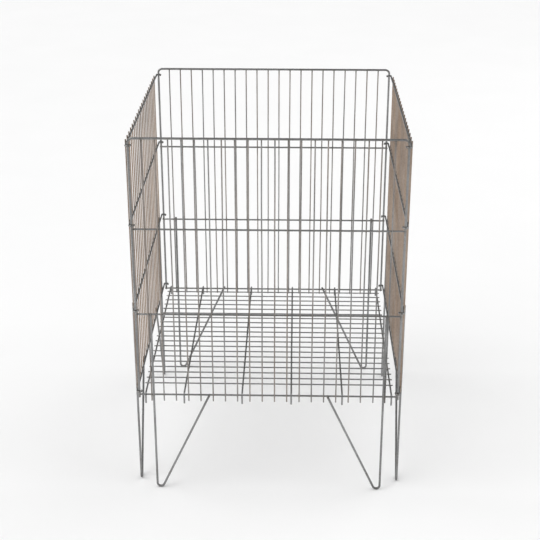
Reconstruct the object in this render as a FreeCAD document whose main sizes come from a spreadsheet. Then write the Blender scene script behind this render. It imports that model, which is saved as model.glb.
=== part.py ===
"""Folding wire mesh container: four hinged wire panels on V-shaped legs, with a hooked wire shelf.

X is the width, Y the depth (the back panel is at +Y) and Z is up, with the floor at Z = 0.
The two frame panels (front and back) end in uprights. The wires of the two side panels are
bent into eyes round those uprights, which makes the four corner hinges.
"""
import FreeCAD
import Part
import Sketcher
import math
import os

doc = FreeCAD.newDocument("WireContainer")

# ---------------------------------------------------------------- driving dimensions (mm)
sheet = doc.addObject("Spreadsheet::Sheet", "Dims")
DIMENSIONS = [
    ("frame_width", 580.0, "between the upright axes, along X"),
    ("frame_depth", 580.0, "between the upright axes, along Y"),
    ("rim_height", 847.5, "centre of the rim wire above the floor"),
    ("rim_bend", 9.5, "centre-line radius of the two top corners"),
    ("lower_height", 243.0, "centre of the lower cross wire of a frame panel"),
    ("cross_spacing", 200.5, "between the lower, middle and upper cross wires"),
    ("frame_wire", 5.0, "diameter of the rim and its uprights"),
    ("cross_wire", 4.0, "diameter of the cross wires and hooked wires"),
    ("mesh_wire", 3.0, "diameter of the upright mesh wires"),
    ("leg_wire", 5.0, "diameter of the legs"),
    ("bar_wire", 4.0, "diameter of the shelf bars"),
    ("grid_wire", 3.0, "diameter of the thin shelf wires"),
    ("mesh_gaps", 21.0, "equal gaps between two uprights, one more than the mesh wires"),
    ("mesh_tail", 14.0, "mesh wires run on below the lowest cross wire"),
    ("upright_tail", 5.0, "uprights run on below the lower cross wire"),
    ("cross_overrun", 3.0, "cross wires run on past the upright axis"),
    ("eye_play", 0.4, "clearance between an eye and its upright"),
    ("eye_tip", 4.0, "straight tip after the half turn of an eye"),
    ("eye_lift", 10.5, "side wires above the matching wires of a frame panel"),
    ("top_drop", 15.5, "top side wire below the rim wire"),
    ("comb_height", 5.0, "side mesh wires stand above the top side wire"),
    ("leg_clear", 0.65, "gap between a leg and the first mesh wire"),
    ("leg_reach", 5.74, "slanted limb meets the lower wire, in mesh gaps from the upright"),
    ("foot_bend", 8.0, "centre-line radius at the foot of a leg"),
    ("leg_overrun", 4.0, "leg ends run on past the wires they are welded to"),
    ("rest_gap", 0.3, "clearance between a shelf bar and the wire it hangs on"),
    ("hook_depth", 19.5, "hooked ends of the shelf bars reach below the wire axis"),
    ("shelf_side_gap", 10.9, "between the shelf and the side wires"),
    ("grid_margin", 38.5, "first thin shelf wire from the wire the shelf hangs on"),
]
for row, (alias, value, note) in enumerate(DIMENSIONS, start=1):
    sheet.set("A%d" % row, alias)
    sheet.set("B%d" % row, str(value))
    sheet.set("C%d" % row, note)
    sheet.setAlias("B%d" % row, alias)
doc.recompute()

MESH_WIRES = 20          # in each panel, one fewer than mesh_gaps
GRID_WIRES = 20          # thin wires across the shelf
# shelf bars, in mesh gaps from the left upright, each clear of the mesh wires beside it
BAR_GAPS = (0.5, 3.64, 8.36, 12.36, 16.5, 20.5)


def dim(text):
    """Expression text with every driving dimension written as a cell of the sheet."""
    for name in sorted((entry[0] for entry in DIMENSIONS), key=len, reverse=True):
        text = text.replace("<%s>" % name, "Dims.%s" % name)
    return text


# ---------------------------------------------------------------- shared places
HALF_WIDTH = "<frame_width> / 2"
HALF_DEPTH = "<frame_depth> / 2"
# frame panels: cross wires on the inner side of the uprights, mesh wires and legs on their outer side
CROSS_PLANE = "(<frame_depth> / 2 - (<frame_wire> + <cross_wire>) / 2)"
MESH_PLANE = "(%s + (<cross_wire> + <mesh_wire>) / 2)" % CROSS_PLANE
LEG_PLANE = "(%s + (<cross_wire> + <leg_wire>) / 2)" % CROSS_PLANE
# the near edge of a mesh wire's top end meets the rim wire this far below the rim's centre
RIM_SEAT = "sqrt((<frame_wire> / 2) ^ 2 - max(0; <frame_wire> / 2 - <mesh_wire>) ^ 2)"
# side panels: hooked wires just outside the uprights, mesh wires and legs outside those
EYE_RADIUS = "((<frame_wire> + <cross_wire>) / 2 + <eye_play>)"
SIDE_PLANE = "(<frame_width> / 2 + %s)" % EYE_RADIUS
SIDE_MESH_PLANE = "(%s + (<cross_wire> + <mesh_wire>) / 2)" % SIDE_PLANE
SIDE_LEG_PLANE = "(%s + (<cross_wire> + <leg_wire>) / 2)" % SIDE_PLANE
# shelf: bars over the lower cross wires of the frame panels, thin wires on top of the bars
HOOK_RADIUS = "((<cross_wire> + <bar_wire>) / 2 + <rest_gap>)"
BAR_HEIGHT = "(<lower_height> + %s)" % HOOK_RADIUS
GRID_HEIGHT = "(%s + (<bar_wire> + <grid_wire>) / 2)" % BAR_HEIGHT
GRID_HALF = "(%s - <cross_wire> / 2 - <shelf_side_gap>)" % SIDE_PLANE

CROSS_HEIGHTS = {
    "lower": "<lower_height>",
    "middle": "(<lower_height> + <cross_spacing>)",
    "upper": "(<lower_height> + 2 * <cross_spacing>)",
}
SIDE_HEIGHTS = {name: "(%s + <eye_lift>)" % height for name, height in CROSS_HEIGHTS.items()}
SIDE_HEIGHTS["top"] = "(<rim_height> - <top_drop>)"

subparts = []


# ---------------------------------------------------------------- building blocks
def bind(obj, **expressions):
    """Bind properties to the sheet; a double underscore in a name stands for a dot."""
    for name, text in expressions.items():
        obj.setExpression(name.replace("__", "."), dim(text))


def straight_wire(name, axis, diameter, length, x, y, z):
    """A straight cut wire as a Part cylinder that starts at (x, y, z) and runs along +axis."""
    wire = doc.addObject("Part::Cylinder", name)
    turns = {
        "X": FreeCAD.Rotation(FreeCAD.Vector(0, 1, 0), 90),
        "Y": FreeCAD.Rotation(FreeCAD.Vector(1, 0, 0), -90),
        "Z": FreeCAD.Rotation(),
    }
    wire.Placement = FreeCAD.Placement(FreeCAD.Vector(), turns[axis])
    bind(wire, Radius="%s / 2" % diameter, Height=length,
         Placement__Base__x=x, Placement__Base__y=y, Placement__Base__z=z)
    return wire


def group(label, wires):
    """One sub-part that holds several separate equal wires."""
    node = doc.addObject("Part::Compound", label)
    node.Label = label
    node.Links = wires
    subparts.append(node)
    return node


def attached_sketch(body, name, role, offset):
    """A sketch on one of the body's origin planes, moved along that plane's normal."""
    sketch = body.newObject("Sketcher::SketchObject", name)
    plane = [item for item in body.Origin.OriginFeatures if item.Role == role][0]
    sketch.AttachmentSupport = [(plane, "")]
    sketch.MapMode = "FlatFace"
    bind(sketch, AttachmentOffset__Base__z=offset)
    return sketch


def value(text):
    """Present number of an expression, for the first drawing of a sketch."""
    number = sheet.evalExpression(dim(text))
    return float(getattr(number, "Value", number))


def constrain(sketch, kind, *where, expression=None):
    """Add one constraint; a size is given as an expression and bound to the sheet."""
    if expression is None:
        return sketch.addConstraint(Sketcher.Constraint(kind, *where))
    index = sketch.addConstraint(Sketcher.Constraint(kind, *where, value(expression)))
    sketch.setExpression("Constraints[%d]" % index, dim(expression))
    return index


ORIGIN = (-1, 1)         # the sketch origin as a constraint point
START, END, CENTRE = 1, 2, 3


def hold(sketch, geometry, point, x=None, y=None):
    """Hold a point of a sketch at expressions x and y from the origin, whatever their signs."""
    for kind, text in (("DistanceX", x), ("DistanceY", y)):
        if text is None:
            continue
        if value(text) < 0:
            constrain(sketch, kind, geometry, point, *ORIGIN, expression="-(%s)" % text)
        else:
            constrain(sketch, kind, *ORIGIN, geometry, point, expression=text)


def circle_profile(body, name, role, offset, diameter, x, y):
    """The round section of a wire, centred at expressions x and y of its plane."""
    sketch = attached_sketch(body, name, role, offset)
    centre = FreeCAD.Vector(value(x), value(y), 0)
    ring = sketch.addGeometry(Part.Circle(centre, FreeCAD.Vector(0, 0, 1), value(diameter) / 2), False)
    constrain(sketch, "Diameter", ring, expression=diameter)
    hold(sketch, ring, CENTRE, x, y)
    return sketch


def pipe(body, path, profile):
    """Sweep the section along the path and list the body as a sub-part."""
    sweep = body.newObject("PartDesign::AdditivePipe", "Wire")
    sweep.Profile = profile
    sweep.Spine = (path, [])
    body.Tip = sweep
    for sketch in (path, profile):
        sketch.Visibility = False
    subparts.append(body)


def new_body(label):
    body = doc.addObject("PartDesign::Body", label)
    body.Label = label
    return body


def line(sketch, x1, y1, x2, y2):
    return sketch.addGeometry(Part.LineSegment(FreeCAD.Vector(x1, y1, 0), FreeCAD.Vector(x2, y2, 0)), False)


def arc(sketch, x, y, radius, first, last):
    """Arc about (x, y), counter-clockwise between two angles in degrees."""
    ring = Part.Circle(FreeCAD.Vector(x, y, 0), FreeCAD.Vector(0, 0, 1), radius)
    return sketch.addGeometry(Part.ArcOfCircle(ring, math.radians(first), math.radians(last)), False)


def join(sketch, first, first_point, second, second_point):
    """Join two pieces of a path end to end without a kink."""
    constrain(sketch, "Tangent", first, first_point, second, second_point)


def hoop_path(sketch, half, low, high, bend):
    """An inverted U, square but for its two round corners, about the sketch's vertical axis."""
    x, y_low, y_high, r = value(half), value(low), value(high), value(bend)
    left = line(sketch, -x, y_low, -x, y_high - r)
    left_bend = arc(sketch, r - x, y_high - r, r, 90, 180)
    top = line(sketch, r - x, y_high, x - r, y_high)
    right_bend = arc(sketch, x - r, y_high - r, r, 0, 90)
    right = line(sketch, x, y_high - r, x, y_low)
    join(sketch, left, END, left_bend, END)
    join(sketch, left_bend, START, top, START)
    join(sketch, top, END, right_bend, END)
    join(sketch, right_bend, START, right, START)
    constrain(sketch, "Vertical", left)
    constrain(sketch, "Horizontal", top)
    constrain(sketch, "Vertical", right)
    constrain(sketch, "Radius", left_bend, expression=bend)
    constrain(sketch, "Equal", left_bend, right_bend)
    hold(sketch, left, START, "-(%s)" % half, low)
    hold(sketch, top, START, y=high)
    hold(sketch, right, END, half, low)


def eye_path(sketch, side, half, pivot, radius, tip):
    """A run along the sketch's Y with a half turn round a pivot at each end and a tip inside."""
    y, x, r, t = value(half), value(pivot), value(radius), value(tip)
    inner, outer = side * (x - r), side * (x + r)
    back_tip = line(sketch, inner, y - t, inner, y)
    back_turn = arc(sketch, side * x, y, r, 0, 180)
    run = line(sketch, outer, y, outer, -y)
    front_turn = arc(sketch, side * x, -y, r, 180, 360)
    front_tip = line(sketch, inner, -y, inner, t - y)
    # a counter-clockwise half turn starts on the right
    outer_first = side > 0
    join(sketch, back_tip, END, back_turn, END if outer_first else START)
    join(sketch, back_turn, START if outer_first else END, run, START)
    join(sketch, run, END, front_turn, END if outer_first else START)
    join(sketch, front_turn, START if outer_first else END, front_tip, START)
    for straight in (back_tip, run, front_tip):
        constrain(sketch, "Vertical", straight)
    constrain(sketch, "Radius", back_turn, expression=radius)
    constrain(sketch, "Equal", back_turn, front_turn)
    hold(sketch, back_turn, CENTRE, "(%s)" % pivot if side > 0 else "-(%s)" % pivot, half)
    hold(sketch, front_turn, CENTRE, y="-(%s)" % half)
    hold(sketch, back_tip, START, y="(%s) - %s" % (half, tip))
    hold(sketch, front_tip, END, y="-((%s) - %s)" % (half, tip))


def leg_path(sketch, side, near, far, high, low, bend):
    """A narrow V: an upright limb at near, a round foot, and a slanted limb that ends at far."""
    x, x_far, y_high, y_low, r = (value(text) for text in (near, far, high, low, bend))
    foot = r + value("<leg_wire> / 2")
    # the slanted limb leaves the foot where it is tangent to it
    across, up = (x - r) - x_far, y_low - foot
    slant = math.atan2(across, up) - math.asin(r / math.hypot(across, up))
    touch_x, touch_y = x - r - r * math.cos(slant), foot - r * math.sin(slant)
    upright = line(sketch, side * x, y_high, side * x, foot)
    if side > 0:
        turn = arc(sketch, x - r, foot, r, 180 + math.degrees(slant), 360)
        near_end, far_end = END, START
    else:
        turn = arc(sketch, r - x, foot, r, 180, 360 - math.degrees(slant))
        near_end, far_end = START, END
    slanted = line(sketch, side * touch_x, touch_y, side * x_far, y_low)
    sign = "" if side > 0 else "-"
    join(sketch, upright, END, turn, near_end)
    join(sketch, turn, far_end, slanted, START)
    constrain(sketch, "Vertical", upright)
    constrain(sketch, "Radius", turn, expression=bend)
    hold(sketch, upright, START, "%s(%s)" % (sign, near), high)
    hold(sketch, turn, CENTRE, y="%s + <leg_wire> / 2" % bend)
    hold(sketch, slanted, END, "%s(%s)" % (sign, far), low)


# ---------------------------------------------------------------- frame panels
def frame_panel(name, side):
    """The back (side +1) or front (side -1) panel; the sketch normal of XZ points along -Y."""
    sign = "" if side > 0 else "-"
    away = "-" if side > 0 else ""
    low = "(<lower_height> - <upright_tail>)"

    body = new_body("%s_rim_frame" % name)
    plane = "%s(%s)" % (away, HALF_DEPTH)
    path = attached_sketch(body, "Path", "XZ_Plane", plane)
    hoop_path(path, HALF_WIDTH, low, "<rim_height>", "<rim_bend>")
    section = circle_profile(body, "Section", "XY_Plane", low, "<frame_wire>",
                             "-(%s)" % HALF_WIDTH, "%s(%s)" % (sign, HALF_DEPTH))
    pipe(body, path, section)

    for level, height in CROSS_HEIGHTS.items():
        label = "%s_%s_cross_wire" % (name, level)
        wire = straight_wire(label, "X", "<cross_wire>", "<frame_width> + 2 * <cross_overrun>",
                             "-(%s) - <cross_overrun>" % HALF_WIDTH, "%s%s" % (sign, CROSS_PLANE), height)
        wire.Label = label
        subparts.append(wire)

    wires = []
    bottom = "<lower_height> - <mesh_tail>"
    for number in range(1, MESH_WIRES + 1):
        x = "<frame_width> * (%d / <mesh_gaps> - 0.5)" % number
        top = "<rim_height> - %s" % RIM_SEAT
        wires.append(straight_wire("%s_mesh_%02d" % (name, number), "Z", "<mesh_wire>",
                                   "%s - (%s)" % (top, bottom), x, "%s%s" % (sign, MESH_PLANE), bottom))
    group("%s_mesh_wires" % name, wires)

    for hand, turn in (("left", -1), ("right", 1)):
        body = new_body("%s_%s_leg" % (name, hand))
        leg(body, "XZ_Plane", "%s%s" % (away, LEG_PLANE), turn, "<frame_width>",
            CROSS_HEIGHTS, lambda x: (x, "%s%s" % (sign, LEG_PLANE)))


def leg(body, role, plane, side, width, heights, section_place):
    """A V leg beside the first mesh wire, up to the middle wire and back to the lower wire."""
    near = "(%s / 2 - %s / <mesh_gaps> - (<mesh_wire> + <leg_wire>) / 2 - <leg_clear>)" % (width, width)
    far = "(%s / 2 - %s * <leg_reach> / <mesh_gaps>)" % (width, width)
    high = "(%s + <leg_overrun>)" % heights["middle"]
    low = "(%s + <leg_overrun>)" % heights["lower"]
    path = attached_sketch(body, "Path", role, plane)
    leg_path(path, side, near, far, high, low, "<foot_bend>")
    x, y = section_place(near if side > 0 else "-%s" % near)
    section = circle_profile(body, "Section", "XY_Plane", high, "<leg_wire>", x, y)
    pipe(body, path, section)


frame_panel("back", 1)
frame_panel("front", -1)


# ---------------------------------------------------------------- side panels
def side_panel(name, side):
    """The left (side -1) or right (side +1) panel, whose wires end in eyes round the uprights."""
    sign = "" if side > 0 else "-"
    for level in ("top", "upper", "middle", "lower"):
        height = SIDE_HEIGHTS[level]
        body = new_body("%s_%s_eye_wire" % (name, level))
        path = attached_sketch(body, "Path", "XY_Plane", height)
        eye_path(path, side, HALF_DEPTH, HALF_WIDTH, EYE_RADIUS, "<eye_tip>")
        section = circle_profile(body, "Section", "XZ_Plane", "-(%s - <eye_tip>)" % HALF_DEPTH,
                                 "<cross_wire>", "%s(%s - %s)" % (sign, HALF_WIDTH, EYE_RADIUS), height)
        pipe(body, path, section)

    wires = []
    bottom = "(%s - <mesh_tail>)" % SIDE_HEIGHTS["lower"]
    for number in range(1, MESH_WIRES + 1):
        y = "<frame_depth> * (%d / <mesh_gaps> - 0.5)" % number
        length = "%s + <comb_height> - %s" % (SIDE_HEIGHTS["top"], bottom)
        wires.append(straight_wire("%s_mesh_%02d" % (name, number), "Z", "<mesh_wire>", length,
                                   "%s%s" % (sign, SIDE_MESH_PLANE), y, bottom))
    group("%s_mesh_wires" % name, wires)

    for hand, turn in (("front", -1), ("back", 1)):
        body = new_body("%s_%s_leg" % (name, hand))
        leg(body, "YZ_Plane", "%s%s" % (sign, SIDE_LEG_PLANE), turn, "<frame_depth>",
            SIDE_HEIGHTS, lambda y: ("%s%s" % (sign, SIDE_LEG_PLANE), y))


side_panel("left", -1)
side_panel("right", 1)

# ---------------------------------------------------------------- shelf
for number, gaps in enumerate(BAR_GAPS, start=1):
    body = new_body("shelf_bar_%d" % number)
    across = "(<frame_width> * (%s / <mesh_gaps> - 0.5))" % gaps
    reach = "(%s + %s)" % (CROSS_PLANE, HOOK_RADIUS)
    tail = "(<lower_height> - <hook_depth>)"
    path = attached_sketch(body, "Path", "YZ_Plane", across)
    hoop_path(path, reach, tail, BAR_HEIGHT, HOOK_RADIUS)
    section = circle_profile(body, "Section", "XY_Plane", tail, "<bar_wire>", across, "-%s" % reach)
    pipe(body, path, section)

grid = []
for number in range(GRID_WIRES):
    y = "(%s - <grid_margin>) * (2 * %d / %d - 1)" % (CROSS_PLANE, number, GRID_WIRES - 1)
    grid.append(straight_wire("shelf_grid_%02d" % (number + 1), "X", "<grid_wire>", "2 * %s" % GRID_HALF,
                              "-%s" % GRID_HALF, y, GRID_HEIGHT))
group("shelf_grid_wires", grid)

# ---------------------------------------------------------------- checks and export
doc.recompute()
for item in doc.Objects:
    if "Invalid" in item.State or "Error" in item.State:
        raise RuntimeError("%s did not build: %s" % (item.Name, item.State))
os.makedirs("parts", exist_ok=True)
for node in subparts:
    shape = node.Shape
    if shape.isNull() or not shape.isValid() or not shape.Solids:
        raise RuntimeError("%s has no valid solid" % node.Label)
    shape.exportStep("parts/%s.step" % node.Label)
print("exported", len(subparts), "sub-parts")
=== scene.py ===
"""Looks of the folding wire mesh container: drawn wire under bright zinc, welded where it crosses."""

import math

import bpy
from mathutils import Euler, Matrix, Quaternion, Vector


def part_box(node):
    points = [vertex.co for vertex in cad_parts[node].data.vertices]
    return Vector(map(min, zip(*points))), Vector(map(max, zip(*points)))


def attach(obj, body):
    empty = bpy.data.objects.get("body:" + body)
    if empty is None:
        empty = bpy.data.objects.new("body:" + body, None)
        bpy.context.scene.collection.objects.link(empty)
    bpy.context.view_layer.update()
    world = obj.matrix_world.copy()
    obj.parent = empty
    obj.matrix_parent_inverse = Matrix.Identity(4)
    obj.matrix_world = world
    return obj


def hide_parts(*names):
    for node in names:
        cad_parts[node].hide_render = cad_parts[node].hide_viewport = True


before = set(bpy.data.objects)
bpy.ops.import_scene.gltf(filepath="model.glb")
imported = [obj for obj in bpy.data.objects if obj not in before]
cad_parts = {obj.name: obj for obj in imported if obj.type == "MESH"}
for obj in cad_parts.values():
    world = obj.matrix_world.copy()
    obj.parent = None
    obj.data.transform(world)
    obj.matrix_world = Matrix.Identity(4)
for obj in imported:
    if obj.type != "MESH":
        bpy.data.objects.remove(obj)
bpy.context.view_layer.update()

MM = 0.001
X, Y, Z = range(3)
WIRES_PER_PANEL = 20
THIN_SHELF_WIRES = 20
SHELF_BARS = 6
MESH_GAPS = WIRES_PER_PANEL + 1
LEVEL_NAMES = ("lower", "middle", "upper")
SIDE_LEVEL_NAMES = LEVEL_NAMES + ("top",)

FRAME_R = 2.5 * MM           # radii of the wires: rim frames, cross wires, mesh wires and so on
CROSS_R = 2.0 * MM
MESH_R = 1.5 * MM
LEG_R = 2.5 * MM
BAR_R = 2.0 * MM
GRID_R = 1.5 * MM
RIM_BEND = 9.5 * MM          # centre-line radii of the bends
FOOT_BEND = 8.0 * MM
EYE_TIP = 4.0 * MM           # straight tip past the half turn of an eye
LEG_REACH = 5.74             # slanted limb meets the lower wire, in mesh gaps from the upright
LEG_OVERRUN = 4.0 * MM

ROUND_SIDES = 28             # faces round a thick wire
THIN_SIDES = 20              # faces round a thin wire
RUN_STEP = 22 * MM           # straight runs are cut into stretches of about this length
BEND_STEP = math.radians(7)  # and bends into turns of about this much
END_EASE = 0.6 * MM          # length of the eased edge of a sheared end
EASE_SHARE = 0.63            # its middle point, as a share of that length from the inner one
EASE_DROP = 0.08             # it narrows by this much there, and by four times as much at the end
EASE_POINTS = 2              # points at each end of a wire that the easing narrows
WANDER = 1.1 * MM            # how far thin wires stray sideways in their panel, one way and the other
WANDER_ACROSS = 60.0         # how fast the stray changes from wire to wire and up a wire, per metre
WANDER_UP = 2.6
WIRE_SHIFT = 1.37            # metres along the lay between the patterns of one wire and the next

# a weld's half width and half thickness are each a share of the thinner wire's radius, and a margin
NUGGET_WIDTH_SHARE = 0.78
NUGGET_WIDTH_MARGIN = 0.5 * MM
NUGGET_DEPTH_SHARE = 0.42
NUGGET_DEPTH_MARGIN = 0.25 * MM
NUGGET_SIDES = 8
NUGGET_RINGS = 6
NUGGET_SPREAD = (0.86, 1.08)  # smallest and largest weld, as shares of that size
NUGGET_SEED = 7


# ---------------------------------------------------------------- node trees
class Value:
    """A number that varies in a tree; arithmetic on it adds Math nodes."""

    def __init__(self, tree, socket):
        self.tree = tree
        self.socket = socket

    def math(self, operation, *others, flip=False):
        operands = [self, *others]
        if flip:
            operands.reverse()
        return self.tree.value("ShaderNodeMath", dict(enumerate(operands)), operation=operation)

    def __add__(self, other):
        return self.math("ADD", other)

    def __radd__(self, other):
        return self.math("ADD", other)

    def __sub__(self, other):
        return self.math("SUBTRACT", other)

    def __rsub__(self, other):
        return self.math("SUBTRACT", other, flip=True)

    def __mul__(self, other):
        return self.math("MULTIPLY", other)

    def __rmul__(self, other):
        return self.math("MULTIPLY", other)

    def __truediv__(self, other):
        return self.math("DIVIDE", other)

    def __rtruediv__(self, other):
        return self.math("DIVIDE", other, flip=True)

    def size(self):
        """The number without its sign."""
        return self.math("ABSOLUTE")

    def least(self, other):
        return self.math("MINIMUM", other)

    def most(self, other):
        return self.math("MAXIMUM", other)

    def off_step(self, pitch):
        """Distance to the nearest whole multiple of pitch."""
        steps = self / pitch
        return (steps - steps.math("ROUND")).size() * pitch

    def ramp(self, low, high):
        """0 below low, 1 above high and a smooth rise between; falls instead where low > high."""
        if low > high:
            return 1.0 - self.ramp(high, low)
        return self.tree.value("ShaderNodeMapRange", {"Value": self, "From Min": low, "From Max": high},
                               interpolation_type="SMOOTHSTEP")


class Tree:
    """Adds nodes to a shader or geometry tree with one call each."""

    def __init__(self, node_tree):
        self.tree = node_tree

    def node(self, kind, sockets=None, **settings):
        """A node of a type: its settings first, then the values or links of its sockets."""
        made = self.tree.nodes.new(kind)
        for name, setting in settings.items():
            setattr(made, name, setting)
        for key, given in (sockets or {}).items():
            self.feed(made.inputs[key], given)
        return made

    def feed(self, socket, given):
        """Link or set one socket."""
        if isinstance(given, Value):
            given = given.socket
        if isinstance(given, bpy.types.NodeSocket):
            self.tree.links.new(given, socket)
        else:
            socket.default_value = given

    def out(self, kind, sockets=None, output=0, **settings):
        """An output socket of a new node."""
        return self.node(kind, sockets, **settings).outputs[output]

    def value(self, kind, sockets=None, output=0, **settings):
        """The output of a new node, ready for arithmetic."""
        return Value(self, self.out(kind, sockets, output, **settings))

    def vector(self, operation, sockets, output=0):
        return self.out("ShaderNodeVectorMath", sockets, output, operation=operation)


# ---------------------------------------------------------------- places from the frame
def middle(node, axis):
    low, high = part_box(node)
    return (low[axis] + high[axis]) / 2


def half(node, axis):
    low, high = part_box(node)
    return (high[axis] - low[axis]) / 2


def low_end(node):
    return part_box(node)[0].z


def high_end(node):
    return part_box(node)[1].z


UPRIGHT_X = half("back_rim_frame", X) - FRAME_R      # axes of the uprights
UPRIGHT_Y = middle("back_rim_frame", Y)
RIM_Z = high_end("back_rim_frame") - FRAME_R
PITCH_X = 2 * UPRIGHT_X / MESH_GAPS
PITCH_Y = 2 * UPRIGHT_Y / MESH_GAPS
LEVELS = [middle("back_%s_cross_wire" % level, Z) for level in LEVEL_NAMES]
SIDE_LEVELS = [middle("left_%s_eye_wire" % level, Z) for level in SIDE_LEVEL_NAMES]
LEVEL_STEP = LEVELS[1] - LEVELS[0]
LEG_CLEAR = UPRIGHT_X - PITCH_X - MESH_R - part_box("back_right_leg")[1].x
BAR_X = [middle("shelf_bar_%d" % number, X) for number in range(1, SHELF_BARS + 1)]
GRID_EDGE = half("shelf_grid_wires", Y) - GRID_R
GRID_STEP = 2 * GRID_EDGE / (THIN_SHELF_WIRES - 1)


# ---------------------------------------------------------------- zinc-plated wire
class Finish(Tree):
    """A material's tree with the patterns that plated wire needs."""

    def __init__(self, name):
        self.material = bpy.data.materials.new(name)
        self.material.use_nodes = True
        super().__init__(self.material.node_tree)
        self.shader = self.tree.nodes["Principled BSDF"]
        self.place = self.out("ShaderNodeTexCoord", output="Object")
        self.lay = self.out("ShaderNodeAttribute", output="Vector", attribute_name="lay")

    def axes(self):
        split = self.node("ShaderNodeSeparateXYZ", {"Vector": self.place})
        return [Value(self, socket) for socket in split.outputs]

    def noise(self, vector, stretch, detail=3.0):
        """Noise with a frequency per metre along each axis of a vector."""
        scaled = self.vector("MULTIPLY", {0: vector, 1: stretch})
        return self.value("ShaderNodeTexNoise", {"Vector": scaled, "Scale": 1.0, "Detail": detail})

    def blend(self, amount, low, high):
        """Colour low where amount is 0 and high where it is 1."""
        return self.out("ShaderNodeMix", {0: amount, 6: low, 7: high}, 2, data_type="RGBA")

    def dress(self, colour, rough, height, strength, depth):
        """Feed the shader of a bare metal surface."""
        normal = self.out("ShaderNodeBump", {"Height": height, "Strength": strength, "Distance": depth})
        for name, given in (("Base Color", colour), ("Roughness", rough), ("Metallic", 1.0),
                            ("Normal", normal)):
            self.feed(self.shader.inputs[name], given)
        return self.material


# grain of each pattern, in changes per metre; where it follows the lay, the last is along the wire
CLOUD_GRAIN = (9, 9, 9)
STAIN_GRAIN = (14, 14, 1.6)
MOTTLE_GRAIN = (230, 230, 230)
SPECK_GRAIN = (2300, 2300, 2300)
DIE_LINE_GRAIN = (2600, 2600, 22)
SCUFF_GRAIN = (700, 700, 160)
PIT_GRAIN = (1500, 1500, 1500)
WELD_TINT_GRAIN = (60, 60, 60)
FLOOR_GRAIN = (3, 3, 3)

# where each mark of making and wear begins to show and where it is full
HEAT_TINT = (9 * MM, 3 * MM)      # distance from a weld
PRESS_MARK = (4 * MM, 2 * MM)
FOOT_WEAR = (20 * MM, 2 * MM)     # height above the floor
BUMP_DEPTH = 0.08 * MM
WELD_BUMP_DEPTH = 0.15 * MM

BRIGHT_ZINC = (0.350, 0.354, 0.356, 1.0)
DULL_ZINC = (0.180, 0.178, 0.175, 1.0)
WARM_BRIGHT = (0.460, 0.348, 0.268, 1.0)     # mesh wires with random brownish stains, and a painted warm reflection over the whole of each side panel
WARM_DULL = (0.292, 0.212, 0.156, 1.0)
STRAW = (0.230, 0.190, 0.135, 1.0)
PIT = (0.055, 0.052, 0.050, 1.0)
BARE_STEEL = (0.125, 0.120, 0.116, 1.0)
SHADED_FLOOR = (0.86, 0.86, 0.86, 1.0)
LIT_FLOOR = (0.89, 0.89, 0.89, 1.0)


def zinc_wire(name, weld_distance, gloss, stains_and_painted_warmth=False):
    """Drawn wire under bright zinc: die lines, cloudy plating, duller welds, cut ends and worn feet.

    weld_distance gives the distance to the nearest weld, gloss is the roughness of the cleanest zinc,
    and the last flag gives mesh wire brownish stains, and a painted warm reflection over each whole side
    panel.
    """
    finish = Finish(name)
    x, y, z = finish.axes()
    cloud = finish.noise(finish.place, CLOUD_GRAIN, detail=4.0).ramp(0.36, 0.66)
    mottle = finish.noise(finish.place, MOTTLE_GRAIN, detail=4.0)
    die_lines = finish.noise(finish.lay, DIE_LINE_GRAIN)
    specks = finish.noise(finish.place, SPECK_GRAIN, detail=1.0).ramp(0.66, 0.74)
    scuff = finish.noise(finish.lay, SCUFF_GRAIN, detail=4.0).ramp(0.52, 0.70)
    cut = finish.value("ShaderNodeAttribute", output="Fac", attribute_name="cut").ramp(0.45, 0.95)

    tone = cloud * 0.45 + mottle.ramp(0.35, 0.70) * 0.30 + die_lines.ramp(0.3, 0.7) * 0.25
    colour = finish.blend(tone, BRIGHT_ZINC, DULL_ZINC)
    if stains_and_painted_warmth:
        stain = finish.noise(finish.place, STAIN_GRAIN).ramp(0.36, 0.64)
        # the noise gives stains that come and go at random; the side-panel share is a painted warm
        # reflection over each whole side panel
        stain_and_painted_reflection = stain * 0.40 + on_side_panel(x) * 0.60
        colour = finish.blend(stain_and_painted_reflection, colour, finish.blend(tone, WARM_BRIGHT, WARM_DULL))
    rough = gloss + cloud * 0.08 + mottle * 0.10 + die_lines * 0.10 + specks * 0.15
    distance = weld_distance(x, y, z)
    heated = distance.ramp(*HEAT_TINT) * mottle.ramp(0.30, 0.60)
    pressed = distance.ramp(*PRESS_MARK)
    worn = z.ramp(*FOOT_WEAR) * (0.35 + scuff * 0.65)
    # each mark: how much of it shows, the colour it gives and how much rougher it is
    for amount, tint, rougher in ((heated * 0.22, STRAW, 0.12), (pressed * 0.25, DULL_ZINC, 0.10),
                                  (specks * 0.35, PIT, 0.0), (worn * 0.75, BARE_STEEL, 0.25),
                                  (cut * 0.85, BARE_STEEL, 0.28)):
        colour = finish.blend(amount, colour, tint)
        rough = rough + amount * rougher
    height = die_lines * 0.45 + mottle * 0.35 - specks * 0.20
    return finish.dress(colour, rough, height, strength=0.5, depth=BUMP_DEPTH)


def weld_metal(name):
    """A squeezed spot weld under plating: rougher than the wire, pitted and lightly tinted by heat."""
    finish = Finish(name)
    pits = finish.noise(finish.place, PIT_GRAIN, detail=4.0)
    heated = finish.noise(finish.place, WELD_TINT_GRAIN, detail=2.0).ramp(0.35, 0.65)
    colour = finish.blend(pits.ramp(0.30, 0.70), BRIGHT_ZINC, DULL_ZINC)
    colour = finish.blend(heated * 0.20, colour, STRAW)
    return finish.dress(colour, 0.42 + pits * 0.22, pits, strength=0.6, depth=WELD_BUMP_DEPTH)


def on_side_panel(x):
    """1 on the wires of a side panel, which lie outside the uprights, and 0 on a frame panel."""
    return x.size().ramp(UPRIGHT_X + FRAME_R / 2, UPRIGHT_X + FRAME_R)


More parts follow.
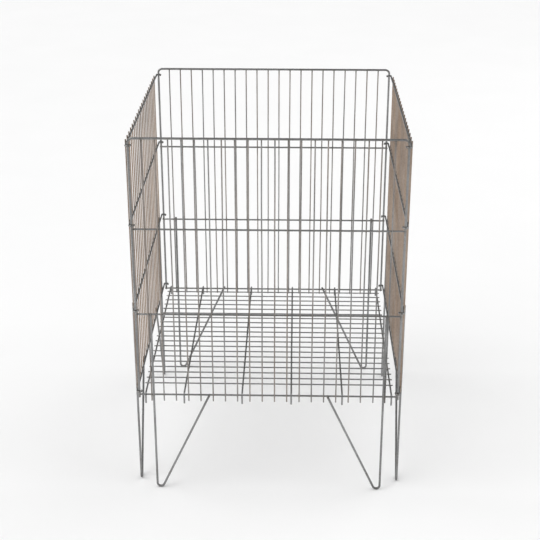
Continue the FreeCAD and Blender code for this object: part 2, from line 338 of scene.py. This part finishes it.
def frame_wire_welds(x, y, z):
    """Mesh wires meet the rim from below, and cross wires meet the uprights."""
    on_rim = z.ramp(RIM_Z - RIM_BEND, RIM_Z - RIM_BEND / 2)
    along_rim = (x - UPRIGHT_X).off_step(PITCH_X)
    return on_rim * along_rim + (1.0 - on_rim) * (z - LEVELS[0]).off_step(LEVEL_STEP)


def cross_wire_welds(x, y, z):
    """Mesh wires cross at every step, across a frame panel and along a side panel."""
    side = on_side_panel(x)
    along_x, along_y = (x - UPRIGHT_X).off_step(PITCH_X), (y - UPRIGHT_Y).off_step(PITCH_Y)
    return side * along_y + (1.0 - side) * along_x


def upright_wire_welds(x, y, z):
    """Mesh wires and legs meet the crossing wires at the heights of their own panel."""
    side = on_side_panel(x)
    side_height = (z - SIDE_LEVELS[0]).off_step(LEVEL_STEP).least((z - SIDE_LEVELS[-1]).size())
    return side * side_height + (1.0 - side) * (z - LEVELS[0]).off_step(LEVEL_STEP)


def shelf_wire_welds(x, y, z):
    """Thin shelf wires are welded where they cross a bar."""
    nearest_bar = (x - BAR_X[0]).size()
    for bar in BAR_X[1:]:
        nearest_bar = nearest_bar.least((x - bar).size())
    past_edge = (y.size() - GRID_EDGE).most(0.0)
    return nearest_bar.most((y - GRID_EDGE).off_step(GRID_STEP)) + past_edge


FINISHES = {
    "frame_wire": zinc_wire("zinc_frame_wire", frame_wire_welds, gloss=0.16),
    "cross_wire": zinc_wire("zinc_cross_wire", cross_wire_welds, gloss=0.18),
    "mesh_wire": zinc_wire("zinc_mesh_wire", upright_wire_welds, gloss=0.20, stains_and_painted_warmth=True),
    "leg_wire": zinc_wire("zinc_leg_wire", upright_wire_welds, gloss=0.18),
    "shelf_wire": zinc_wire("zinc_shelf_wire", shelf_wire_welds, gloss=0.18),
}
WELD_METAL = weld_metal("zinc_weld")


# ---------------------------------------------------------------- geometry trees
def started_tree(name, sizes):
    """A geometry tree with named inputs, and the sockets that they arrive by."""
    group = bpy.data.node_groups.new(name, "GeometryNodeTree")
    for socket_name, kind in [("Geometry", "Geometry")] + sizes:
        group.interface.new_socket(socket_name, in_out="INPUT", socket_type="NodeSocket" + kind)
    group.interface.new_socket("Geometry", in_out="OUTPUT", socket_type="NodeSocketGeometry")
    tree = Tree(group)
    return group, tree, tree.node("NodeGroupInput").outputs


def ended_tree(tree, geometry, finish):
    """Every tree of a piece ends the same way: real geometry with its material."""
    real = tree.out("GeometryNodeRealizeInstances", {0: geometry})
    dressed = tree.out("GeometryNodeSetMaterial", {"Geometry": real, "Material": finish})
    tree.node("NodeGroupOutput", {0: dressed})


def stored(tree, geometry, name, given, kind="FLOAT"):
    """Keep a number or vector on every point under a name."""
    return tree.out("GeometryNodeStoreNamedAttribute", {"Geometry": geometry, "Name": name, "Value": given},
                    data_type=kind, domain="POINT")


def kept(tree, name, kind="FLOAT"):
    return tree.out("GeometryNodeInputNamedAttribute", {"Name": name}, data_type=kind)


WIRE_SIZES = [("Wire Radius", "Float"), ("Sides", "Int")]
WANDER_SIZES = [("Spread", "Vector"), ("Wander", "Float"), ("Seed", "Float")]


def grouped(tree, group, geometry, given, sizes):
    """Run geometry through another tree that has inputs of the same names."""
    sockets = {"Geometry": geometry, **{name: given[name] for name, _ in sizes}}
    return tree.out("GeometryNodeGroup", sockets, node_tree=group)


def wander_tree():
    """Strays points sideways along the spread of a panel, alike for a wire and its welds."""
    group, tree, given = started_tree("wander", WANDER_SIZES)
    place = tree.out("GeometryNodeInputPosition")
    across = Value(tree, tree.vector("DOT_PRODUCT", {0: place, 1: given["Spread"]}, 1))
    up = tree.value("ShaderNodeSeparateXYZ", {0: place}, 2)
    spot = tree.out("ShaderNodeCombineXYZ",
                    {0: across * WANDER_ACROSS, 1: up * WANDER_UP, 2: given["Seed"]})
    noise = tree.value("ShaderNodeTexNoise", {"Vector": spot, "Scale": 1.0, "Detail": 1.0})
    stray = (noise - 0.5) * 2.0 * Value(tree, given["Wander"])
    offset = tree.vector("SCALE", {0: given["Spread"], "Scale": stray})
    moved = tree.out("GeometryNodeSetPosition", {"Geometry": given["Geometry"], "Offset": offset})
    tree.node("NodeGroupOutput", {0: moved})
    return group


def sweep_tree():
    """Sweeps curves into wire with eased ends, a lay vector and cut marks for the finish."""
    group, tree, given = started_tree("wire_sweep", WIRE_SIZES)
    length = tree.value("GeometryNodeSplineParameter", output="Length")
    which = tree.value("GeometryNodeCurveOfPoint", output="Curve Index")
    last, last_two = [tree.value("GeometryNodeCurveEndpointSelection",
                                 {"Start Size": points, "End Size": points}) for points in (1, EASE_POINTS)]
    eased = last + last_two      # 2 at an end, 1 at the point beside it and 0 elsewhere
    curves = stored(tree, given["Geometry"], "along", length + which * WIRE_SHIFT)
    curves = stored(tree, curves, "cut", last + 0.0)
    ring = tree.out("GeometryNodeCurvePrimitiveCircle",
                    {"Resolution": given["Sides"], "Radius": given["Wire Radius"]})
    ring = stored(tree, ring, "ring", tree.out("GeometryNodeInputPosition"), "FLOAT_VECTOR")
    swept = tree.out("GeometryNodeCurveToMesh", {"Curve": curves, "Profile Curve": ring, "Fill Caps": True,
                                                 "Scale": 1.0 - eased * eased * EASE_DROP})
    across = tree.node("ShaderNodeSeparateXYZ", {0: kept(tree, "ring", "FLOAT_VECTOR")}).outputs
    lay = tree.out("ShaderNodeCombineXYZ", {0: across[0], 1: across[1], 2: kept(tree, "along")})
    swept = stored(tree, swept, "lay", lay, "FLOAT_VECTOR")
    for name in ("ring", "along"):
        swept = tree.out("GeometryNodeRemoveAttribute", {"Geometry": swept, "Name": name})
    tree.node("NodeGroupOutput", {0: tree.out("GeometryNodeSetShadeSmooth", {"Geometry": swept})})
    return group


def bent_wire_tree(sweep):
    """One wire along its path."""
    group, tree, given = started_tree("bent_wire", WIRE_SIZES + [("Finish", "Material")])
    ended_tree(tree, grouped(tree, sweep, given["Geometry"], given, WIRE_SIZES), given["Finish"])
    return group


def wire_row_tree(sweep, wander):
    """A row of equal straight wires, each with eased ends."""
    row_sizes = [("Start", "Vector"), ("Step", "Vector"), ("Count", "Int"), ("Run", "Vector"),
                 ("Stretches", "Int"), ("Finish", "Material")]
    group, tree, given = started_tree("wire_row", WIRE_SIZES + WANDER_SIZES + row_sizes)
    row = tree.out("GeometryNodeMeshLine", {"Count": given["Count"], "Start Location": given["Start"],
                                            "Offset": given["Step"]}, mode="OFFSET")
    # the points between the eased edges share the run evenly
    stretches = Value(tree, given["Stretches"])
    points = stretches + (2.0 * EASE_POINTS + 1.0)
    straight = tree.out("GeometryNodeCurvePrimitiveLine", {"End": given["Run"]})
    straight = tree.out("GeometryNodeResampleCurve", {"Curve": straight, "Count": points})
    index = tree.value("GeometryNodeSplineParameter", output="Index")
    before = ((EASE_POINTS - index).most(0.0) * EASE_SHARE).least(1.0)
    after = ((index - EASE_POINTS - stretches).most(0.0) * EASE_SHARE).least(1.0)
    inner = ((index - EASE_POINTS) / stretches).most(0.0).least(1.0)
    ease = END_EASE / Value(tree, tree.vector("LENGTH", {0: given["Run"]}, 1))
    share = ease + inner * (1.0 - ease * 2.0) + ease * (after - before)
    place = tree.vector("SCALE", {0: given["Run"], "Scale": share})
    straight = tree.out("GeometryNodeSetPosition", {"Geometry": straight, "Position": place})
    wires = tree.out("GeometryNodeInstanceOnPoints", {"Points": row, "Instance": straight})
    wires = tree.out("GeometryNodeRealizeInstances", {0: wires})
    wires = grouped(tree, wander, wires, given, WANDER_SIZES)
    ended_tree(tree, grouped(tree, sweep, wires, given, WIRE_SIZES), given["Finish"])
    return group


def weld_spots_tree(wander):
    """A small squeezed nugget of metal on every point, as large as its nugget attribute says."""
    group, tree, given = started_tree("weld_spots", WANDER_SIZES + [("Finish", "Material")])
    places = grouped(tree, wander, given["Geometry"], given, WANDER_SIZES)
    ball = tree.out("GeometryNodeMeshUVSphere",
                    {"Segments": NUGGET_SIDES, "Rings": NUGGET_RINGS, "Radius": 1.0})
    # sockets 2 and 3 are the limits of a plain number, and 8 is the seed
    limits = {2: NUGGET_SPREAD[0], 3: NUGGET_SPREAD[1], 8: NUGGET_SEED}
    change = tree.out("FunctionNodeRandomValue", limits, 1, data_type="FLOAT")
    size = tree.vector("SCALE", {0: kept(tree, "nugget", "FLOAT_VECTOR"), "Scale": change})
    spots = tree.out("GeometryNodeInstanceOnPoints", {"Points": places, "Instance": ball, "Scale": size})
    spots = tree.out("GeometryNodeRealizeInstances", {0: spots})
    ended_tree(tree, tree.out("GeometryNodeSetShadeSmooth", {"Geometry": spots}), given["Finish"])
    return group


WANDER_FIELD = wander_tree()
SWEEP = sweep_tree()
BENT_WIRE = bent_wire_tree(SWEEP)
WIRE_ROW = wire_row_tree(SWEEP, WANDER_FIELD)
WELD_SPOTS = weld_spots_tree(WANDER_FIELD)


# ---------------------------------------------------------------- pieces
def grown(name, data, group, body, inputs, node=None):
    """Run a tree on some data and keep the result as a plain mesh that rides on a body."""
    seed = bpy.data.objects.new(name + "_seed", data)
    bpy.context.scene.collection.objects.link(seed)
    modifier = seed.modifiers.new("grow", "NODES")
    modifier.node_group = group
    identifiers = {item.name: item.identifier for item in group.interface.items_tree
                   if item.in_out == "INPUT"}
    for input_name, given in inputs.items():
        modifier[identifiers[input_name]] = given
    depsgraph = bpy.context.evaluated_depsgraph_get()
    mesh = bpy.data.meshes.new_from_object(seed.evaluated_get(depsgraph))
    seed.modifiers.remove(modifier)
    bpy.data.objects.remove(seed)
    mesh.name = name
    piece = bpy.data.objects.new(name, mesh)
    bpy.context.scene.collection.objects.link(piece)
    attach(piece, body)
    if node:
        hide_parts(node)


def divided(start, end):
    """Points after start up to end, evenly spaced."""
    run = (end - start).length
    if run < END_EASE / 10:
        return []
    steps = max(1, round(run / RUN_STEP))
    return [start.lerp(end, step / steps) for step in range(1, steps + 1)]


def eased_end(end, inside):
    """The three points of an eased edge, from the sheared end inwards."""
    along = (inside - end).normalized() * END_EASE
    return [end, end + along * (1 - EASE_SHARE), end + along]


def path(name, corners, bend):
    """The line of a wire: straight runs, and an arc round each corner."""
    corners = [Vector(corner) for corner in corners]
    points = eased_end(corners[0], corners[1])
    for before, corner, after in zip(corners, corners[1:], corners[2:]):
        into, away = (corner - before).normalized(), (after - corner).normalized()
        turn = into.angle(away)
        arc_start = corner - into * bend * math.tan(turn / 2)
        centre = corner + (away - into).normalized() * bend / math.cos(turn / 2)
        points += divided(points[-1], arc_start)
        steps = math.ceil(turn / BEND_STEP)
        for step in range(1, steps + 1):
            turned = Quaternion(into.cross(away), turn * step / steps)
            points.append(centre + turned @ (arc_start - centre))
    last = eased_end(corners[-1], corners[-2])
    points += divided(points[-1], last[2]) + [last[1], last[0]]
    curve = bpy.data.curves.new(name + "_path", "CURVE")
    curve.dimensions = "3D"
    spline = curve.splines.new("POLY")
    spline.points.add(len(points) - 1)
    for point, place in zip(spline.points, points):
        point.co = (*place, 1.0)
    return curve


def bent_wire(node, body, slot, corners, radius, bend=0.0):
    """One wire, straight or bent, in place of its CAD node."""
    name = "plated_" + node
    inputs = {"Wire Radius": radius, "Sides": ROUND_SIDES, "Finish": FINISHES[slot]}
    grown(name, path(name, corners, bend), BENT_WIRE, body, inputs, node)


def floats(*numbers):
    return [float(number) for number in numbers]


def wandering(axis, wander, seed):
    """Inputs for wires that stray along one axis."""
    spread = floats(0, 0, 0)
    spread[axis] = 1.0
    return {"Spread": spread, "Wander": wander, "Seed": seed}


def wire_row(node, body, slot, start, step, run, count, radius, wander):
    """A row of equal thin wires in place of its CAD node."""
    inputs = {"Wire Radius": radius, "Sides": THIN_SIDES, "Start": floats(*start), "Step": floats(*step),
              "Count": count, "Run": floats(*run), "Stretches": round(Vector(run).length / RUN_STEP),
              "Finish": FINISHES[slot], **wander}
    anchor = bpy.data.meshes.new(node + "_anchor")
    grown("plated_" + node, anchor, WIRE_ROW, body, inputs, node)


def weld_spots(name, body, spots, wander):
    """A group of welds of one body; each spot is a place and its three half sizes."""
    mesh = bpy.data.meshes.new(name + "_places")
    mesh.from_pydata([place for place, _ in spots], [], [])
    sizes = mesh.attributes.new("nugget", "FLOAT_VECTOR", "POINT")
    for item, (_, size) in zip(sizes.data, spots):
        item.vector = size
    grown(name, mesh, WELD_SPOTS, body, {"Finish": WELD_METAL, **wander})


def crossing(axis, place, first_radius, second_radius):
    """A weld between two crossing wires, thin along the axis that parts them."""
    thinner = min(first_radius, second_radius)
    size = [NUGGET_WIDTH_SHARE * thinner + NUGGET_WIDTH_MARGIN] * 3
    size[axis] = NUGGET_DEPTH_SHARE * thinner + NUGGET_DEPTH_MARGIN
    return place, size


# ---------------------------------------------------------------- legs
def leg_corners(half_span, pitch, levels):
    """Sideways and upward places of a V leg's upper end, the corner below its foot, and its far end."""
    near = half_span - pitch - MESH_R - LEG_CLEAR - LEG_R
    far = half_span - pitch * LEG_REACH
    high, low = levels[1] + LEG_OVERRUN, levels[0] + LEG_OVERRUN
    foot = LEG_R + FOOT_BEND
    across, up = near - FOOT_BEND - far, low - foot
    slant = math.atan2(across, up) - math.asin(FOOT_BEND / math.hypot(across, up))
    return [(near, high), (near, foot - FOOT_BEND / math.tan(slant / 2)), (far, low)]


def leg_crossings(half_span, pitch, levels):
    """Where the two limbs of a leg meet the crossing wires."""
    (near, _), (_, tip), (far, low) = leg_corners(half_span, pitch, levels)
    slanted = far + (near - far) * (low - levels[0]) / (low - tip)
    return [(near, levels[0]), (near, levels[1]), (slanted, levels[0])]


def on_panel(axis, plane, across, up):
    """A point in an upright plane, from its place along axis and its height."""
    return (across, plane, up) if axis == X else (plane, across, up)


def panel_legs(name, hands, axis, plane, weld_plane, half_span, pitch, levels):
    """Both V legs of a panel and their welds."""
    body = name + "_panel"
    spots = []
    for hand, turn in zip(hands, (-1, 1)):
        corners = [on_panel(axis, plane, turn * across, up)
                   for across, up in leg_corners(half_span, pitch, levels)]
        bent_wire("%s_%s_leg" % (name, hand), body, "leg_wire", corners, LEG_R, FOOT_BEND)
        spots += [crossing(1 - axis, on_panel(axis, weld_plane, turn * across, up), LEG_R, CROSS_R)
                  for across, up in leg_crossings(half_span, pitch, levels)]
    weld_spots(name + "_leg_welds", body, spots, wandering(axis, 0.0, 0.0))


# ---------------------------------------------------------------- frame panels
def frame_panel(name, side, seed):
    """The back (side 1) or front (side -1) panel, a rim frame filled with mesh."""
    body = name + "_panel"
    rim, mesh, cross = name + "_rim_frame", name + "_mesh_wires", name + "_%s_cross_wire"
    y, low = side * UPRIGHT_Y, low_end(rim)
    corners = [(-UPRIGHT_X, y, low), (-UPRIGHT_X, y, RIM_Z), (UPRIGHT_X, y, RIM_Z), (UPRIGHT_X, y, low)]
    bent_wire(rim, body, "frame_wire", corners, FRAME_R, RIM_BEND)

    cross_y, end = middle(cross % "lower", Y), half(cross % "lower", X)
    weld_y = cross_y + side * CROSS_R
    spots = []
    for level, z in zip(LEVEL_NAMES, LEVELS):
        bent_wire(cross % level, body, "cross_wire", [(-end, cross_y, z), (end, cross_y, z)], CROSS_R)
        spots += [crossing(Y, (x, weld_y, z), FRAME_R, CROSS_R) for x in (-UPRIGHT_X, UPRIGHT_X)]
    weld_spots(name + "_frame_welds", body, spots, wandering(X, 0.0, 0.0))

    mesh_y, bottom, top = middle(mesh, Y), low_end(mesh), high_end(mesh)
    wander = wandering(X, WANDER, seed)
    wire_row(mesh, body, "mesh_wire", (PITCH_X - UPRIGHT_X, mesh_y, bottom), (PITCH_X, 0, 0),
             (0, 0, top - bottom), WIRES_PER_PANEL, MESH_R, wander)
    spots = []
    for number in range(1, WIRES_PER_PANEL + 1):
        x = number * PITCH_X - UPRIGHT_X
        spots += [crossing(Y, (x, weld_y, z), MESH_R, CROSS_R) for z in LEVELS]
        spots.append(crossing(Z, (x, mesh_y, top), MESH_R, FRAME_R))
    weld_spots(name + "_mesh_welds", body, spots, wander)
    panel_legs(name, ("left", "right"), X, middle(name + "_left_leg", Y), weld_y,
               UPRIGHT_X, PITCH_X, LEVELS)


# ---------------------------------------------------------------- side panels
def side_panel(name, side, seed):
    """The left (side -1) or right (side 1) panel, whose wires end in eyes round the uprights."""
    body = name + "_panel"
    mesh, eyed = name + "_mesh_wires", name + "_%s_eye_wire"
    outer = max(abs(corner.x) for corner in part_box(eyed % "top")) - CROSS_R
    eye = outer - UPRIGHT_X
    inner_x, outer_x = side * (UPRIGHT_X - eye), side * outer
    for level, z in zip(SIDE_LEVEL_NAMES, SIDE_LEVELS):
        half_loop = [(inner_x, UPRIGHT_Y - EYE_TIP), (inner_x, UPRIGHT_Y + eye), (outer_x, UPRIGHT_Y + eye)]
        corners = [(x, y, z) for x, y in half_loop] + [(x, -y, z) for x, y in reversed(half_loop)]
        bent_wire(eyed % level, body, "cross_wire", corners, CROSS_R, eye)

    mesh_x, bottom, top = middle(mesh, X), low_end(mesh), high_end(mesh)
    weld_x = outer_x + side * CROSS_R
    wander = wandering(Y, WANDER, seed)
    wire_row(mesh, body, "mesh_wire", (mesh_x, PITCH_Y - UPRIGHT_Y, bottom), (0, PITCH_Y, 0),
             (0, 0, top - bottom), WIRES_PER_PANEL, MESH_R, wander)
    spots = [crossing(X, (weld_x, number * PITCH_Y - UPRIGHT_Y, z), MESH_R, CROSS_R)
             for number in range(1, WIRES_PER_PANEL + 1) for z in SIDE_LEVELS]
    weld_spots(name + "_mesh_welds", body, spots, wander)
    panel_legs(name, ("front", "back"), Y, middle(name + "_front_leg", X), weld_x,
               UPRIGHT_Y, PITCH_Y, SIDE_LEVELS)


# ---------------------------------------------------------------- shelf
def shelf():
    """Hooked bars with thin wires welded across their tops."""
    bar_z, tail = high_end("shelf_bar_1") - BAR_R, low_end("shelf_bar_1")
    reach = half("shelf_bar_1", Y) - BAR_R
    for number, x in enumerate(BAR_X, start=1):
        corners = [(x, reach, tail), (x, reach, bar_z), (x, -reach, bar_z), (x, -reach, tail)]
        bent_wire("shelf_bar_%d" % number, "shelf", "shelf_wire", corners, BAR_R, bar_z - LEVELS[0])
    end, grid_z = half("shelf_grid_wires", X), middle("shelf_grid_wires", Z)
    still = wandering(Y, 0.0, 0.0)
    wire_row("shelf_grid_wires", "shelf", "shelf_wire", (-end, -GRID_EDGE, grid_z), (0, GRID_STEP, 0),
             (2 * end, 0, 0), THIN_SHELF_WIRES, GRID_R, still)
    spots = [crossing(Z, (x, row * GRID_STEP - GRID_EDGE, bar_z + BAR_R), GRID_R, BAR_R)
             for x in BAR_X for row in range(THIN_SHELF_WIRES)]
    weld_spots("shelf_welds", "shelf", spots, still)


frame_panel("back", side=1, seed=1.0)
frame_panel("front", side=-1, seed=2.0)
side_panel("left", side=-1, seed=3.0)
side_panel("right", side=1, seed=4.0)
shelf()


# ---------------------------------------------------------------- room, light and camera
def pale_floor(reach):
    """A wide pale floor with a faint cloudiness."""
    mesh = bpy.data.meshes.new("floor")
    mesh.from_pydata([(-reach, -reach, 0), (reach, -reach, 0), (reach, reach, 0), (-reach, reach, 0)],
                     [], [(0, 1, 2, 3)])
    floor = bpy.data.objects.new("floor", mesh)
    bpy.context.scene.collection.objects.link(floor)
    paint = Finish("pale_floor")
    colour = paint.blend(paint.noise(paint.place, FLOOR_GRAIN), SHADED_FLOOR, LIT_FLOOR)
    for name, given in (("Base Color", colour), ("Roughness", 0.9), ("Specular IOR Level", 0.1)):
        paint.feed(paint.shader.inputs[name], given)
    mesh.materials.append(paint.material)


def soft_light(name, place, width, height, power):
    """A large soft lamp aimed at the middle of the container."""
    lamp = bpy.data.lights.new(name, "AREA")
    lamp.shape = "RECTANGLE"
    lamp.size = width
    lamp.size_y = height
    lamp.energy = power
    lit(lamp, place)


def overhead_light(name, place, strength, spread):
    """Even light from a wide soft source high up on one side, the same all over the floor."""
    lamp = bpy.data.lights.new(name, "SUN")
    lamp.energy = strength
    lamp.angle = spread
    lit(lamp, place)


def lit(lamp, place):
    """Put a lamp at a place and aim it at the middle of the container."""
    holder = bpy.data.objects.new(lamp.name, lamp)
    bpy.context.scene.collection.objects.link(holder)
    holder.location = place
    aim = Vector((0, 0, RIM_Z / 2)) - Vector(place)
    holder.rotation_euler = aim.to_track_quat("-Z", "Y").to_euler()


def room_light(strength, backdrop):
    """Even dim light from all round, and a backdrop as pale as the floor."""
    world = bpy.data.worlds.new("room")
    world.use_nodes = True
    tree = Tree(world.node_tree)
    seen = tree.value("ShaderNodeLightPath", output="Is Camera Ray")
    background = world.node_tree.nodes["Background"]
    tree.feed(background.inputs["Strength"], strength + seen * (backdrop - strength))
    background.inputs["Color"].default_value = (1.0, 1.0, 1.0, 1.0)
    bpy.context.scene.world = world


def camera():
    """A long lens in front at standing height, looking down into the container."""
    lens = bpy.data.cameras.new("camera")
    lens.lens = 78.2
    lens.sensor_width = 36.0
    lens.shift_y = -0.0622
    holder = bpy.data.objects.new("camera", lens)
    bpy.context.scene.collection.objects.link(holder)
    holder.location = (0.0542, -2.5939, 1.5743)
    tilt_down, turn_left = 0.3882, 0.0219
    holder.rotation_euler = Euler((math.pi / 2 - tilt_down, 0.0, turn_left))
    bpy.context.scene.camera = holder


pale_floor(reach=30.0)
room_light(strength=0.28, backdrop=0.97)
overhead_light("left_sky", (-2.2, -0.6, 3.3), strength=1.93, spread=math.radians(56))
overhead_light("right_sky", (2.2, 0.4, 3.3), strength=1.37, spread=math.radians(56))
soft_light("key", (-3.2, -2.2, 1.8), width=1.0, height=2.6, power=7)
soft_light("rim", (3.0, 2.8, 2.0), width=0.9, height=2.6, power=6)
camera()
bpy.context.scene.view_settings.view_transform = "Standard"
